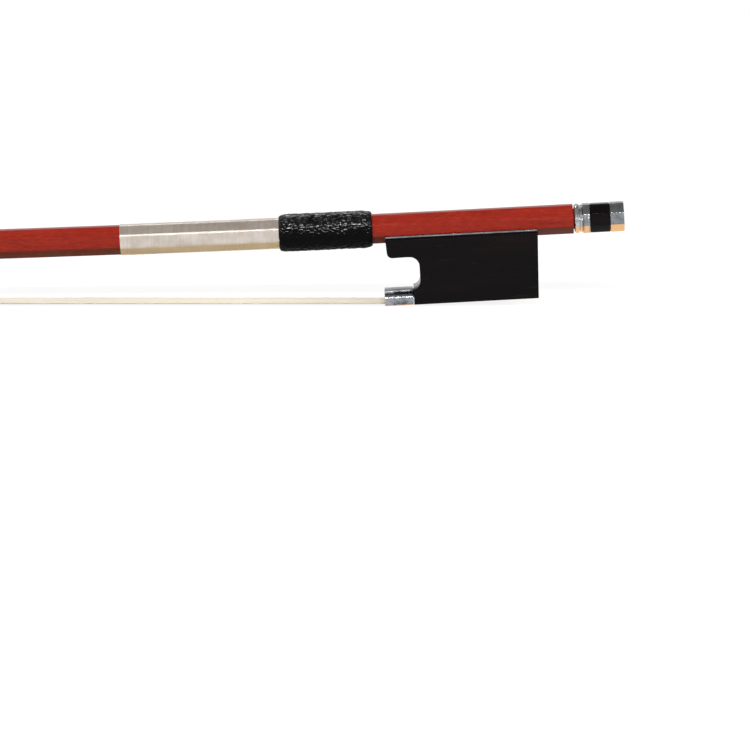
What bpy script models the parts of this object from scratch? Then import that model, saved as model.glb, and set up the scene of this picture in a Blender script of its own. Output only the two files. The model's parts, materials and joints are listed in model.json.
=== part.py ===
"""A violin bow at its real size, in metres.

X runs along the bow, from the head at -X to the button at +X. Z is up and the hair lies below
the stick, so the bow stands on its hair just behind the head and on the front edge of the
ferrule. The origin is under the middle of the bow, on the surface that it stands on.
"""

import math

import bmesh
import bpy
from mathutils import Vector

# The whole bow
STICK_LENGTH = 0.7293
HANDLE_SLOPE = math.radians(3.0)
HANDLE_WIDTH = 0.0086
NECK_WIDTH = 0.00536
TAPER_START = 0.600
RUNNING_FIT = 0.0002
GLUE_LINE = 0.00015
HIDDEN_GAP = 0.0003

# Camber of the stick: distances from the nose, and heights of its centre line
NECK_AT = 0.0300
NECK_SLOPE = -0.0875
LOW_AT = 0.2150
LOW_HEIGHT = 0.01294
STRAIGHT_FROM = 0.6934

# Head
HEAD_LENGTH = 0.0256
HEAD_HEIGHT = 0.02604
HEAD_WIDTH = 0.0103
NECK_DROP = 0.00374
PLATE_REAR_HEIGHT = 0.0010
PLATE_FRONT_HEIGHT = 0.0051
NOSE_HEIGHT = 0.00927
NOSE_LEAN = 0.0016
NOSE_WIDTH = 0.0024
PLATE_THICKNESS = 0.00085
LINER_THICKNESS = 0.0005
HEAD_CHAMFER = 0.0021
HEAD_MORTISE_LENGTH = 0.0080
HEAD_MORTISE_WIDTH = 0.0054
HEAD_MORTISE_DEPTH = 0.0060
HEAD_MORTISE_AT = 0.0145
HEAD_KNOT_HEIGHT = 0.0025
HEAD_HAIR_AT = 0.0006
NOSE_FALL = 0.45

# Hair
HAIR_THICKNESS = 0.0006
HAIR_WIDTH_AT_HEAD = 0.0085
HAIR_WIDTH_AT_FROG = 0.0102
HAIR_BUNDLE_WIDTH = 0.0050
HAIR_RIDGES = 20
HAIR_RIDGE_DEPTH = 0.00012

# Frog, measured along the handle from the frog's front and down from the handle's axis
FROG_LENGTH = 0.0462
FROG_TO_END = 0.0110
FROG_DEPTH = 0.0230
FROG_TOP = 0.00235
FROG_TOP_WIDTH = 0.0132
FROG_BOTTOM_WIDTH_FRONT = 0.0121
FROG_BOTTOM_WIDTH_HEEL = 0.0112
THUMB_DEPTH = 0.0083
THROAT_LENGTH = 0.0100
FERRULE_LENGTH = 0.0087
FERRULE_HEIGHT = 0.0046
FERRULE_CROWN = 0.0026
CROWN_FULLNESS = 0.8
CROWN_SWEEP = math.radians(84)
FERRULE_WIDTH = 0.0122
FERRULE_CORNER = 0.0003
FERRULE_WALL = 0.00045
FERRULE_REACH = 0.0010
TONGUE_THICKNESS = 0.0012
WEDGE_LENGTH = 0.0042
HOLLOW_LENGTH = 0.0190
HOLLOW_HEIGHT = 0.0156
HOLLOW_DEPTH = 0.0015
HOLLOW_CURVE = 0.0036
UNDERSLIDE_THICKNESS = 0.0005
WING_THICKNESS = 0.0004
SLIDE_WIDTH = 0.0074
SLIDE_LENGTH = 0.0300
SLIDE_DOVETAIL = 0.0004
PEARL_THICKNESS = 0.00065
BACKING_THICKNESS = 0.0009
HEEL_PLATE_THICKNESS = 0.0008
HEEL_LEAN = 0.0006
FROG_MORTISE_FROM = 0.0135
FROG_MORTISE_LENGTH = 0.0100
FROG_MORTISE_WIDTH = 0.0068
FROG_MORTISE_DEPTH = 0.0095
FROG_KNOT_HEIGHT = 0.0030
FROG_PLUG_LENGTH = 0.0073
SCREW_SPOTS = (0.0052, FROG_LENGTH - 0.0060)
SHEET_SCREW_RADIUS = 0.0007
SHEET_SCREW_LENGTH = 0.0023

# Eyelet and screw
SCREW_DIAMETER = 0.0030
SCREW_IN_STICK = 0.0550
EYELET_AT = 0.0220
EYELET_LENGTH = 0.0054
EYELET_WIDTH = 0.0036
EYELET_HEIGHT = 0.0054
EYELET_SHANK = 0.0034
EYELET_SHANK_DEPTH = 0.0115
EYELET_MORTISE_LENGTH = 0.0170
NIPPLE_DIAMETER = 0.0062
NIPPLE_LENGTH = 0.0021

# Button, measured from the end of the stick
BUTTON_GAP = 0.0003
BUTTON_WIDTH = 0.0087
COLLAR_DIAMETER = 0.0091
COLLAR_LENGTH = 0.0025
FRONT_RING_LENGTH = 0.0021
EBONY_LENGTH = 0.0060
REAR_RING_LENGTH = 0.0042
EYE_DIAMETER = 0.0068
END_RING_DIAMETER = 0.0080
END_RECESS = 0.0012
BUTTON_JOINT = 0.0001

# Grip
WINDING_LENGTH = 0.0487
WINDING_TURNS = 56
WINDING_THICKNESS = 0.00030
WINDING_RIDGE = 0.00012
LEATHER_LENGTH = 0.0278
LEATHER_DIAMETER = 0.0115
LEATHER_END_THICKNESS = 0.0005
LEATHER_ROUNDNESS = 0.85
LEATHER_TO_FROG = 0.0037

# Places that follow from the sizes above
BUTTON_LENGTH = (
    BUTTON_GAP + COLLAR_LENGTH + FRONT_RING_LENGTH + EBONY_LENGTH + REAR_RING_LENGTH + 3 * BUTTON_JOINT
)
BOW_LENGTH = (
    STICK_LENGTH + BUTTON_LENGTH * math.cos(HANDLE_SLOPE) + BUTTON_WIDTH / 2 * math.sin(HANDLE_SLOPE)
)
FROG_FRONT = -(FROG_TO_END + FROG_LENGTH)
HANDLE_END = Vector((
    STICK_LENGTH - BOW_LENGTH / 2,
    0,
    FROG_DEPTH * math.cos(HANDLE_SLOPE) + (FERRULE_REACH - FROG_FRONT) * math.sin(HANDLE_SLOPE),
))
NECK_HEIGHT = HEAD_HEIGHT - NECK_DROP
LEATHER_FROM = STICK_LENGTH + FROG_FRONT * math.cos(HANDLE_SLOPE) - LEATHER_TO_FROG - LEATHER_LENGTH
WINDING_FROM = LEATHER_FROM - GLUE_LINE - WINDING_LENGTH
WOOD_OFFSET = PLATE_THICKNESS + LINER_THICKNESS + 2 * GLUE_LINE
FERRULE_BACK = FERRULE_LENGTH - FERRULE_REACH
SHOULDER = -(FROG_DEPTH - FERRULE_HEIGHT)
SLIDE_DEPTH = PEARL_THICKNESS + BACKING_THICKNESS + GLUE_LINE
SLIDE_FROM = FERRULE_BACK + 2 * GLUE_LINE
HEEL_FROM = SLIDE_FROM + SLIDE_LENGTH + GLUE_LINE
HAIR_LEVEL = -(FROG_DEPTH - SLIDE_DEPTH - HIDDEN_GAP - HAIR_THICKNESS / 2)
HAIR_MOUTH = -(FROG_DEPTH - FERRULE_WALL - RUNNING_FIT - HAIR_THICKNESS / 2)
FROG_MORTISE_ROOF = -(FROG_DEPTH - FROG_MORTISE_DEPTH)
FROG_KNOT_FLOOR = FROG_MORTISE_ROOF - GLUE_LINE - FROG_KNOT_HEIGHT
SHEET_SCREW_TOP = -(HANDLE_WIDTH / 2 + RUNNING_FIT + 0.0001)
SHEET_SCREW_END = SHEET_SCREW_TOP - SHEET_SCREW_LENGTH
OCTAGON_EDGE = math.tan(math.radians(22.5))

UP = Vector((0, 0, 1))
ACROSS = Vector((0, 1, 0))


# Scene and materials
def clear_scene():
    for old in list(bpy.data.objects):
        bpy.data.objects.remove(old, do_unlink=True)


def collection(name):
    made = bpy.data.collections.new(name)
    bpy.context.scene.collection.children.link(made)
    return made


def material(name, colour, roughness, metallic=0.0):
    made = bpy.data.materials.new(name)
    made.use_nodes = True
    shader = made.node_tree.nodes["Principled BSDF"]
    shader.inputs["Base Color"].default_value = (*colour, 1)
    shader.inputs["Roughness"].default_value = roughness
    shader.inputs["Metallic"].default_value = metallic
    return made


clear_scene()
BOW = collection("violin_bow")
CUTTERS = collection("cutters")
PERNAMBUCO = material("pernambuco", (0.36, 0.06, 0.03), 0.28)
EBONY = material("ebony", (0.012, 0.010, 0.009), 0.32)
SILVER = material("silver", (0.78, 0.77, 0.75), 0.22, 1.0)
STEEL = material("steel", (0.55, 0.55, 0.56), 0.30, 1.0)
BRASS = material("brass", (0.66, 0.46, 0.17), 0.30, 1.0)
IVORY = material("ivory", (0.92, 0.89, 0.78), 0.35)
PEARL = material("pearl", (0.72, 0.76, 0.74), 0.18)
EYE = material("pale_eye", (0.84, 0.68, 0.46), 0.30)
HAIR = material("horse_hair", (0.82, 0.79, 0.68), 0.50)
LEATHER = material("leather", (0.015, 0.014, 0.014), 0.55)
MAPLE = material("maple", (0.62, 0.44, 0.25), 0.60)


# Making objects
def add(name, mesh, finish, parent=None, group=None):
    made = bpy.data.objects.new(name, mesh)
    made.parent = parent
    (group or BOW).objects.link(made)
    if finish:
        mesh.materials.append(finish)
    return made


def empty(name, place, tilt=0.0, parent=None):
    made = bpy.data.objects.new(name, None)
    made.location = place
    made.rotation_euler = (0, tilt, 0)
    made.parent = parent
    BOW.objects.link(made)
    return made


def mesh_of(name, work, smooth_angle=None):
    bmesh.ops.recalc_face_normals(work, faces=work.faces)
    if work.calc_volume(signed=True) < 0:
        bmesh.ops.reverse_faces(work, faces=work.faces)
    mesh = bpy.data.meshes.new(name)
    work.to_mesh(mesh)
    work.free()
    if smooth_angle:
        mesh.shade_smooth()
        mesh.set_sharp_from_angle(angle=math.radians(smooth_angle))
    return mesh


def loft(name, rings, smooth_angle=30):
    """A closed mesh through rings of equally many points, with a flat cap on each end."""
    work = bmesh.new()
    made = [[work.verts.new(point) for point in ring] for ring in rings]
    count = len(rings[0])
    for first, second in zip(made, made[1:]):
        for i in range(count):
            j = (i + 1) % count
            work.faces.new((first[i], first[j], second[j], second[i]))
    work.faces.new(made[0])
    work.faces.new(made[-1])
    return mesh_of(name, work, smooth_angle)


def sleeve(name, outer, inner, smooth_angle=30):
    """A closed tube between two stacks of rings that have equally many points each."""
    work = bmesh.new()
    skins = [[[work.verts.new(p) for p in ring] for ring in stack] for stack in (outer, inner)]
    count = len(outer[0])
    for skin in skins:
        for first, second in zip(skin, skin[1:]):
            for i in range(count):
                work.faces.new((first[i], first[i - 1], second[i - 1], second[i]))
    for end in (0, -1):
        for i in range(count):
            outside, inside = skins[0][end], skins[1][end]
            work.faces.new((outside[i], outside[i - 1], inside[i - 1], inside[i]))
    return mesh_of(name, work, smooth_angle)


def box(name, low, high, finish=None, parent=None, group=None, bevel=0.0):
    work = bmesh.new()
    bmesh.ops.create_cube(work, size=1)
    low, high = Vector(low), Vector(high)
    for vert in work.verts:
        vert.co = Vector(((high[i] - low[i]) * vert.co[i] + (high[i] + low[i]) / 2 for i in range(3)))
    made = add(name, mesh_of(name, work), finish, parent, group)
    if bevel:
        add_bevel(made, bevel, 2)
    return made


def cylinder(name, start, end, radius, finish=None, parent=None, group=None, sides=32, tip_radius=None):
    """A cylinder or a cone along the line from start to end."""
    work = bmesh.new()
    start, end = Vector(start), Vector(end)
    bmesh.ops.create_cone(
        work,
        cap_ends=True,
        segments=sides,
        radius1=radius,
        radius2=radius if tip_radius is None else tip_radius,
        depth=(end - start).length,
    )
    turn = UP.rotation_difference(end - start).to_matrix().to_4x4()
    work.transform(turn)
    bmesh.ops.translate(work, verts=work.verts, vec=(start + end) / 2)
    return add(name, mesh_of(name, work, 30), finish, parent, group)


def flat_outline(name, points, half_depth, finish=None, parent=None, group=None):
    """A solid from an outline of (x, z) points, as deep as twice half_depth along Y."""
    curve = bpy.data.curves.new(name, "CURVE")
    curve.dimensions = "2D"
    curve.fill_mode = "BOTH"
    curve.extrude = half_depth
    spline = curve.splines.new("POLY")
    spline.points.add(len(points) - 1)
    for spot, (x, z) in zip(spline.points, points):
        spot.co = (x, z, 0, 1)
    spline.use_cyclic_u = True
    drawn = bpy.data.objects.new(name + "_outline", curve)
    CUTTERS.objects.link(drawn)
    graph = bpy.context.evaluated_depsgraph_get()
    raw = bpy.data.meshes.new_from_object(drawn.evaluated_get(graph))
    bpy.data.objects.remove(drawn, do_unlink=True)
    work = bmesh.new()
    work.from_mesh(raw)
    bpy.data.meshes.remove(raw)
    bmesh.ops.remove_doubles(work, verts=work.verts, dist=1e-6)
    for vert in work.verts:
        vert.co = Vector((vert.co.x, -vert.co.z, vert.co.y))
    return add(name, mesh_of(name, work, 30), finish, parent, group)


def turned(name, profile, finish=None, parent=None, group=None, sides=32):
    """A body of revolution about the X axis from a closed profile of (x, radius) points.

    The profile runs towards +X along its inner side and back along its outer side.
    """
    work = bmesh.new()
    verts = [work.verts.new((x, 0, radius)) for x, radius in profile]
    for i, vert in enumerate(verts):
        work.edges.new((verts[i - 1], vert))
    mesh = bpy.data.meshes.new(name)
    work.to_mesh(mesh)
    work.free()
    made = add(name, mesh, finish, parent, group)
    screw = made.modifiers.new("turning", "SCREW")
    screw.axis = "X"
    screw.angle = math.tau
    screw.steps = sides
    screw.render_steps = sides
    screw.use_merge_vertices = True
    screw.merge_threshold = 1e-6
    return made


def octagon_prism(name, start, end, width, finish=None, parent=None, group=None, bevel=0.0):
    """An octagonal bar along the X axis with its flats at the top, bottom and sides."""
    made = add(
        name,
        loft(name, [[Vector((x, y, z)) for y, z in octagon(width)] for x in (start, end)], 20),
        finish,
        parent,
        group,
    )
    if bevel:
        add_bevel(made, bevel, 2)
    return made


def add_bevel(made, width, segments):
    bevel = made.modifiers.new("rounded_edges", "BEVEL")
    bevel.width = width
    bevel.segments = segments
    bevel.limit_method = "ANGLE"
    bevel.angle_limit = math.radians(40)
    return bevel


def hide(made):
    made.hide_render = True
    made.display_type = "WIRE"
    return made


def boolean(made, operation, others):
    for other in others:
        hide(other)
        change = made.modifiers.new(other.name, "BOOLEAN")
        change.operation = operation
        change.solver = "EXACT"
        change.object = other
    return made


def cut(made, *others):
    return boolean(made, "DIFFERENCE", others)


def join(made, *others):
    return boolean(made, "UNION", others)


def keep_common(made, *others):
    return boolean(made, "INTERSECT", others)


# Curves
def ease(start, end, share):
    """A value that runs from start to end and leaves and arrives level."""
    share = min(max(share, 0.0), 1.0)
    return start + (end - start) * share * share * (3 - 2 * share)


def smooth_through(stations, steps):
    """Catmull-Rom points through stations, which are tuples of equally many numbers."""
    found = []
    last = len(stations) - 1
    for i in range(last):
        before, a, b, after = (
            stations[max(i - 1, 0)],
            stations[i],
            stations[i + 1],
            stations[min(i + 2, last)],
        )
        for step in range(steps):
            t = step / steps
            found.append(tuple(
                0.5 * (2 * q + (r - p) * t + (2 * p - 5 * q + 4 * r - s) * t * t
                       + (3 * q - p - 3 * r + s) * t * t * t)
                for p, q, r, s in zip(before, a, b, after)
            ))
    found.append(tuple(stations[last]))
    return found


def arc(centre, radius, start, end, steps):
    """Points on an arc between two angles in degrees, both ends included."""
    return [
        (
            centre[0] + radius * math.cos(math.radians(start + (end - start) * i / steps)),
            centre[1] + radius * math.sin(math.radians(start + (end - start) * i / steps)),
        )
        for i in range(steps + 1)
    ]


def octagon(width):
    """Corners (y, z) of an octagon this wide across its flats."""
    half = width / 2
    edge = half * OCTAGON_EDGE
    corner = [(edge, half), (half, edge), (half, -edge), (edge, -half)]
    return corner + [(-y, z) for y, z in reversed(corner)]


# The stick's centre line
def hermite(share, start, end, start_pull, end_pull):
    square, cube = share * share, share * share * share
    return (
        (2 * cube - 3 * square + 1) * start
        + (cube - 2 * square + share) * start_pull
        + (3 * square - 2 * cube) * end
        + (cube - square) * end_pull
    )


def centre_height(distance):
    """Height of the stick's centre line at a distance from the nose."""
    slope = math.tan(HANDLE_SLOPE)
    if distance >= STRAIGHT_FROM:
        return HANDLE_END.z - (STICK_LENGTH - distance) * slope
    if distance >= LOW_AT:
        span = STRAIGHT_FROM - LOW_AT
        return hermite(
            (distance - LOW_AT) / span, LOW_HEIGHT, centre_height(STRAIGHT_FROM), 0, slope * span
        )
    if distance >= NECK_AT:
        span = LOW_AT - NECK_AT
        return hermite((distance - NECK_AT) / span, NECK_HEIGHT, LOW_HEIGHT, NECK_SLOPE * span, 0)
    return NECK_HEIGHT + (distance - NECK_AT) * NECK_SLOPE


def centre_slope(distance):
    step = 0.0005
    rise = centre_height(distance + step) - centre_height(distance - step)
    return math.atan2(rise, 2 * step)


def stick_width(distance):
    """Width across the flats: full up to the taper, then thinner towards the neck."""
    share = (distance - NECK_AT) / (TAPER_START - NECK_AT)
    share = min(max(share, 0.0), 1.0)
    return NECK_WIDTH + (HANDLE_WIDTH - NECK_WIDTH) * (1 - (1 - share) ** 2)


def at(distance, height):
    """A place from its distance behind the nose and its height."""
    return Vector((distance - BOW_LENGTH / 2, 0, height))


def around_stick(distance, outline):
    """Points (y, z) of an outline, set square round the centre line."""
    slope = centre_slope(distance)
    centre = at(distance, centre_height(distance))
    up = Vector((-math.sin(slope), 0, math.cos(slope)))
    return [centre + ACROSS * y + up * z for y, z in outline]


# The head: each section runs from its front edge to its back edge
def cheek_ring(front, back, edges, bevels):
    """One ring of the head or stick: a narrow front, a front bevel, cheeks, a back bevel, a back."""
    front_edge, front_cheek, back_cheek, back_edge = edges
    front_bevel, back_bevel = bevels
    line = back - front
    length = line.length
    line = line.normalized()
    side = [(0, front_edge), (front_bevel, front_cheek)]
    cheek = length - front_bevel - back_bevel
    for share in (0.2, 0.4, 0.6, 0.8):
        swell = 1 - (1 - share) ** 2
        side.append((front_bevel + cheek * share, front_cheek + (back_cheek - front_cheek) * swell))
    side += [(length - back_bevel, back_cheek), (length, back_edge)]
    right = [front + line * along + ACROSS * width for along, width in side]
    left = [front + line * along - ACROSS * width for along, width in reversed(side)]
    return right + left


def stick_ring(distance):
    width = stick_width(distance)
    slope = centre_slope(distance)
    up = Vector((-math.sin(slope), 0, math.cos(slope))) * (width / 2)
    centre = at(distance, centre_height(distance))
    half, edge = width / 2, width / 2 * OCTAGON_EDGE
    return cheek_ring(centre + up, centre - up, (edge, half, half, edge), (half - edge, half - edge))


def head_line(offset):
    """Nose tip, front corner and rear end of the line that lies this far inside the plate's face."""
    corner = Vector((0, 0, PLATE_FRONT_HEIGHT))
    rear = Vector((HEAD_LENGTH, 0, PLATE_REAR_HEIGHT))
    tip = Vector((NOSE_LEAN, 0, NOSE_HEIGHT))
    bottom = (rear - corner).normalized()
    rise = (tip - corner).normalized()
    into_bottom = Vector((-bottom.z, 0, bottom.x))
    into_nose = Vector((rise.z, 0, -rise.x))
    shift = (into_bottom + into_nose) * (offset / (1 + into_bottom.dot(into_nose)))
    tip_drop = rise * (offset * NOSE_FALL)
    return tip + into_nose * offset - tip_drop, corner + shift, rear + into_bottom * offset


def plan_half_width(share):
    """Half-width of the head's underside, from the nose corner (0) to the rear (1)."""
    narrow, wide = NOSE_WIDTH / 2, HEAD_WIDTH / 2
    return narrow + (wide - narrow) * math.sin(math.pi / 2 * share ** 0.8)


def head_sections():
    """Sections of the head, as (front x, front z, back x, back z, four half-widths, two bevels)."""
    tip, corner, rear = head_line(WOOD_OFFSET)
    length, height, wide = HEAD_LENGTH, HEAD_HEIGHT, HEAD_WIDTH / 2
    front_bevel = 0.117 * length
    cheek = plan_half_width(0.13)
    half = NECK_WIDTH / 2
    edge = half * OCTAGON_EDGE
    slim = 0.1 * wide
    bottom = (corner.x, corner.z, rear.x, rear.z)
    nose = (tip.x, tip.z, rear.x, rear.z + 0.012 * height)
    lower = [(*bottom, NOSE_WIDTH * 0.45, cheek, 0.98 * wide, 0.81 * wide, front_bevel, HEAD_CHAMFER)]
    tip_section = (*nose, 1.1 * slim, 0.85 * cheek, 0.97 * wide, 0.80 * wide, front_bevel, HEAD_CHAMFER)
    shares = [
        (0.120, 0.303, 0.996, 0.110, 0.96, 0.78),
        (0.205, 0.301, 0.991, 0.192, 0.94, 0.76),
        (0.262, 0.317, 0.988, 0.240, 0.91, 0.735),
        (0.325, 0.366, 0.986, 0.292, 0.88, 0.71),
        (0.430, 0.522, 1.000, 0.434, 0.79, 0.60),
        (0.530, 0.707, 1.038, 0.588, 0.70, 0.50),
        (0.632, 0.891, 1.097, 0.684, 0.62, 0.40),
    ]
    body = []
    for i, (fx, fz, bx, bz, rear_cheek, rear_edge) in enumerate(shares):
        share = max(i - 1, 0) / (len(shares) - 1)
        body.append((
            fx * length, fz * height, bx * length, bz * height,
            slim, ease(0.83 * cheek, half * 0.93, share),
            rear_cheek * wide, rear_edge * wide,
            front_bevel, ease(HEAD_CHAMFER, half - edge, share),
        ))
    upper = []
    for back_x, rise, drop, fx, share in (
        (1.130, -0.0410, 0.0445, 0.688, 0.35),
        (1.168, 0.0058, 0.0240, 0.766, 0.60),
        (1.211, 0.0085, 0.0095, 0.883, 0.80),
        (1.266, 0.0065, 0.0030, 1.016, 0.92),
    ):
        front_x, rear_x = fx * length, back_x * length
        upper.append((
            front_x, centre_height(front_x) + half + rise * height,
            rear_x, centre_height(rear_x) - half - drop * height,
            ease(slim, edge, share), ease(half * 0.93, half, share),
            ease(0.62 * wide, half, share), ease(0.40 * wide, edge, share),
            ease(front_bevel, half - edge, share), half - edge,
        ))
    return lower, [tip_section] + body + upper


def head_ring(section):
    fx, fz, bx, bz, *rest = section
    return cheek_ring(at(fx, fz), at(bx, bz), rest[:4], rest[4:])


def stick():
    """The stick with its head, nipple, head mortise, eyelet mortise and screw bore."""
    lower, upper = head_sections()
    sections = lower + smooth_through(upper, 4)
    rings = [head_ring(section) for section in sections]
    first = 1.36 * HEAD_LENGTH
    spacing = 0.0205
    count = math.ceil((STICK_LENGTH - first) / spacing)
    rings += [stick_ring(first + (STICK_LENGTH - first) * i / count) for i in range(count)]
    rings.append([HANDLE_FRAME.matrix_world @ Vector((0, y, z)) for y, z in full_octagon()])
    made = add("stick", loft("stick", rings, 22), PERNAMBUCO)
    nipple = cylinder(
        "nipple", (-0.002, 0, 0), (NIPPLE_LENGTH, 0, 0), NIPPLE_DIAMETER / 2,
        parent=HANDLE_FRAME, group=CUTTERS,
    )
    bore = cylinder(
        "screw_bore", (-SCREW_IN_STICK - 0.001, 0, 0), (NIPPLE_LENGTH + 0.001, 0, 0),
        SCREW_DIAMETER / 2 + RUNNING_FIT, parent=HANDLE_FRAME, group=CUTTERS, sides=20,
    )
    middle = FROG_FRONT + EYELET_AT
    room = EYELET_WIDTH / 2 + RUNNING_FIT
    slot = box(
        "eyelet_mortise",
        (middle - EYELET_MORTISE_LENGTH / 2, -room, -HANDLE_WIDTH),
        (middle + EYELET_MORTISE_LENGTH / 2, room, EYELET_HEIGHT / 2 + RUNNING_FIT),
        parent=HANDLE_FRAME, group=CUTTERS,
    )
    join(made, nipple)
    cut(made, bore, slot, head_pocket("head_mortise", WOOD_OFFSET, HEAD_MORTISE_DEPTH, 0))
    return made


def full_octagon():
    """The handle's octagon with the same number of points as a ring of the stick."""
    half, edge = HANDLE_WIDTH / 2, HANDLE_WIDTH / 2 * OCTAGON_EDGE
    side = [(edge, half)]
    side += [(half, edge - 2 * edge * i / 5) for i in range(6)]
    side += [(edge, -half)]
    return side + [(-y, z) for y, z in reversed(side)]


def head_frame():
    """An empty on the plate's face, at the front end of the mortise, with X along the plate."""
    _, corner, rear = head_line(0)
    line = (rear - corner).normalized()
    place = corner + line * HEAD_MORTISE_AT
    return empty("head_plane", at(place.x, place.z), math.atan2(-line.z, line.x))


def head_pocket(name, start, depth, margin):
    """A cutter for the hair's opening, from just outside the plate to this depth in the wood."""
    half = HEAD_MORTISE_WIDTH / 2 + margin
    return box(
        name,
        (-margin, -half, -0.001),
        (HEAD_MORTISE_LENGTH + margin, half, start + depth),
        parent=HEAD_FRAME, group=CUTTERS,
    )


def plate_layer(name, near, far, finish):
    """A thin layer under the head that turns up at the nose, between two offsets from the face."""
    outer, inner = head_line(near), head_line(far)
    rings = []

    def ring(a, b, half):
        low, high = at(a.x, a.z), at(b.x, b.z)
        rings.append([low + ACROSS * half, low - ACROSS * half, high - ACROSS * half, high + ACROSS * half])

    for share, half in ((0, 0.30), (0.5, 0.42)):
        ring(outer[0].lerp(outer[1], share), inner[0].lerp(inner[1], share), NOSE_WIDTH * half)
    steps = 12
    chamfer = HEAD_CHAMFER / HEAD_LENGTH
    for i in range(steps + 1):
        share = (1 - chamfer) * i / steps
        ring(outer[1].lerp(outer[2], share), inner[1].lerp(inner[2], share), plan_half_width(share))
    ring(outer[2], inner[2], 0.81 * HEAD_WIDTH / 2)
    made = add(name, loft(name, rings, 25), finish)
    return cut(made, head_pocket(name + "_opening", far, 0.001, GLUE_LINE))


def head_fillings():
    """The bound end of the hair and the plug that holds it, inside the head."""
    deep = WOOD_OFFSET + HEAD_MORTISE_DEPTH - GLUE_LINE
    half = HEAD_MORTISE_WIDTH / 2 - GLUE_LINE
    plug_from = HEAD_HAIR_AT + HAIR_THICKNESS / 2 + 2 * GLUE_LINE
    box(
        "tip_hair_knot",
        (GLUE_LINE, -half, deep - HEAD_KNOT_HEIGHT),
        (HEAD_MORTISE_LENGTH - GLUE_LINE, half, deep),
        HAIR, HEAD_FRAME, bevel=0.0008,
    )
    box(
        "tip_plug",
        (plug_from, -half, PLATE_THICKNESS),
        (HEAD_MORTISE_LENGTH - GLUE_LINE, half, deep - HEAD_KNOT_HEIGHT - 2 * GLUE_LINE),
        MAPLE, HEAD_FRAME, bevel=0.0002,
    )


# Hair
def hair_route():
    """(place, width, up) along the hair, from the knot in the head to the knot in the frog."""
    plate = HEAD_FRAME.matrix_world
    knot_floor = WOOD_OFFSET + HEAD_MORTISE_DEPTH - GLUE_LINE - HEAD_KNOT_HEIGHT
    start = [plate @ Vector((HEAD_HAIR_AT, 0, height)) for height in
             (knot_floor - 2 * GLUE_LINE, WOOD_OFFSET + HIDDEN_GAP)]
    middle = HAIR_THICKNESS / 2
    bend = [
        plate @ Vector((HEAD_HAIR_AT + 0.0011, 0, -0.00045)),
        plate @ Vector((HEAD_HAIR_AT + 0.0038, 0, -0.00075)),
        at(0.93 * HEAD_LENGTH, middle + HIDDEN_GAP),
        at(1.22 * HEAD_LENGTH, middle),
    ]
    frog = FROG_FRAME.matrix_world
    mouth = frog @ Vector((-FERRULE_REACH, 0, HAIR_MOUTH))
    rise = FROG_MORTISE_FROM + FROG_MORTISE_LENGTH - 0.0012
    inside = [
        frog @ Vector((FERRULE_BACK + 0.0006, 0, HAIR_LEVEL)),
        frog @ Vector((rise - 0.0034, 0, HAIR_LEVEL)),
        frog @ Vector((rise - 0.0008, 0, HAIR_LEVEL + 0.0005)),
        frog @ Vector((rise, 0, HAIR_LEVEL + 0.0019)),
        frog @ Vector((rise, 0, FROG_KNOT_FLOOR - 2 * GLUE_LINE)),
    ]
    tied, channel = HAIR_BUNDLE_WIDTH, SLIDE_WIDTH - 2 * HIDDEN_GAP
    wide, narrow = HAIR_WIDTH_AT_FROG, HAIR_WIDTH_AT_HEAD
    head = list(zip(start + bend, (tied, tied, tied * 1.04, tied * 1.18, narrow * 0.9, narrow)))
    tail = list(zip([mouth] + inside, (wide, channel, tied, tied, tied, tied)))
    curved = smooth_through([(*place, width) for place, width in head], 3)
    straight = [(*head[-1][0].lerp(mouth, i / 4), narrow + (wide - narrow) * i / 4) for i in (1, 2, 3)]
    entry = [(*mouth, wide), (*inside[0], channel), (*inside[1], tied)]
    last = smooth_through([(*place, width) for place, width in tail[2:]], 2)[1:]
    return curved + straight + entry + last


def hair_ribbon():
    """One flat hank whose two faces are ridged lengthways, like strands side by side."""
    route = hair_route()
    rings = []
    for i, (x, y, z, width) in enumerate(route):
        before, after = Vector(route[max(i - 1, 0)][:3]), Vector(route[min(i + 1, len(route) - 1)][:3])
        along = (after - before).normalized()
        up = Vector((-along.z, 0, along.x))
        centre = Vector((x, y, z))
        count = 2 * HAIR_RIDGES
        side = []
        for j in range(count + 1):
            lift = HAIR_THICKNESS / 2 - (HAIR_RIDGE_DEPTH if j % 2 == 0 else 0)
            side.append((width * (j / count - 0.5), lift))
        top = [centre + ACROSS * offset + up * lift for offset, lift in side]
        bottom = [centre + ACROSS * offset - up * lift for offset, lift in reversed(side)]
        rings.append(top + bottom)
    return add("hair_ribbon", loft("hair_ribbon", rings, 60), HAIR)


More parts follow.
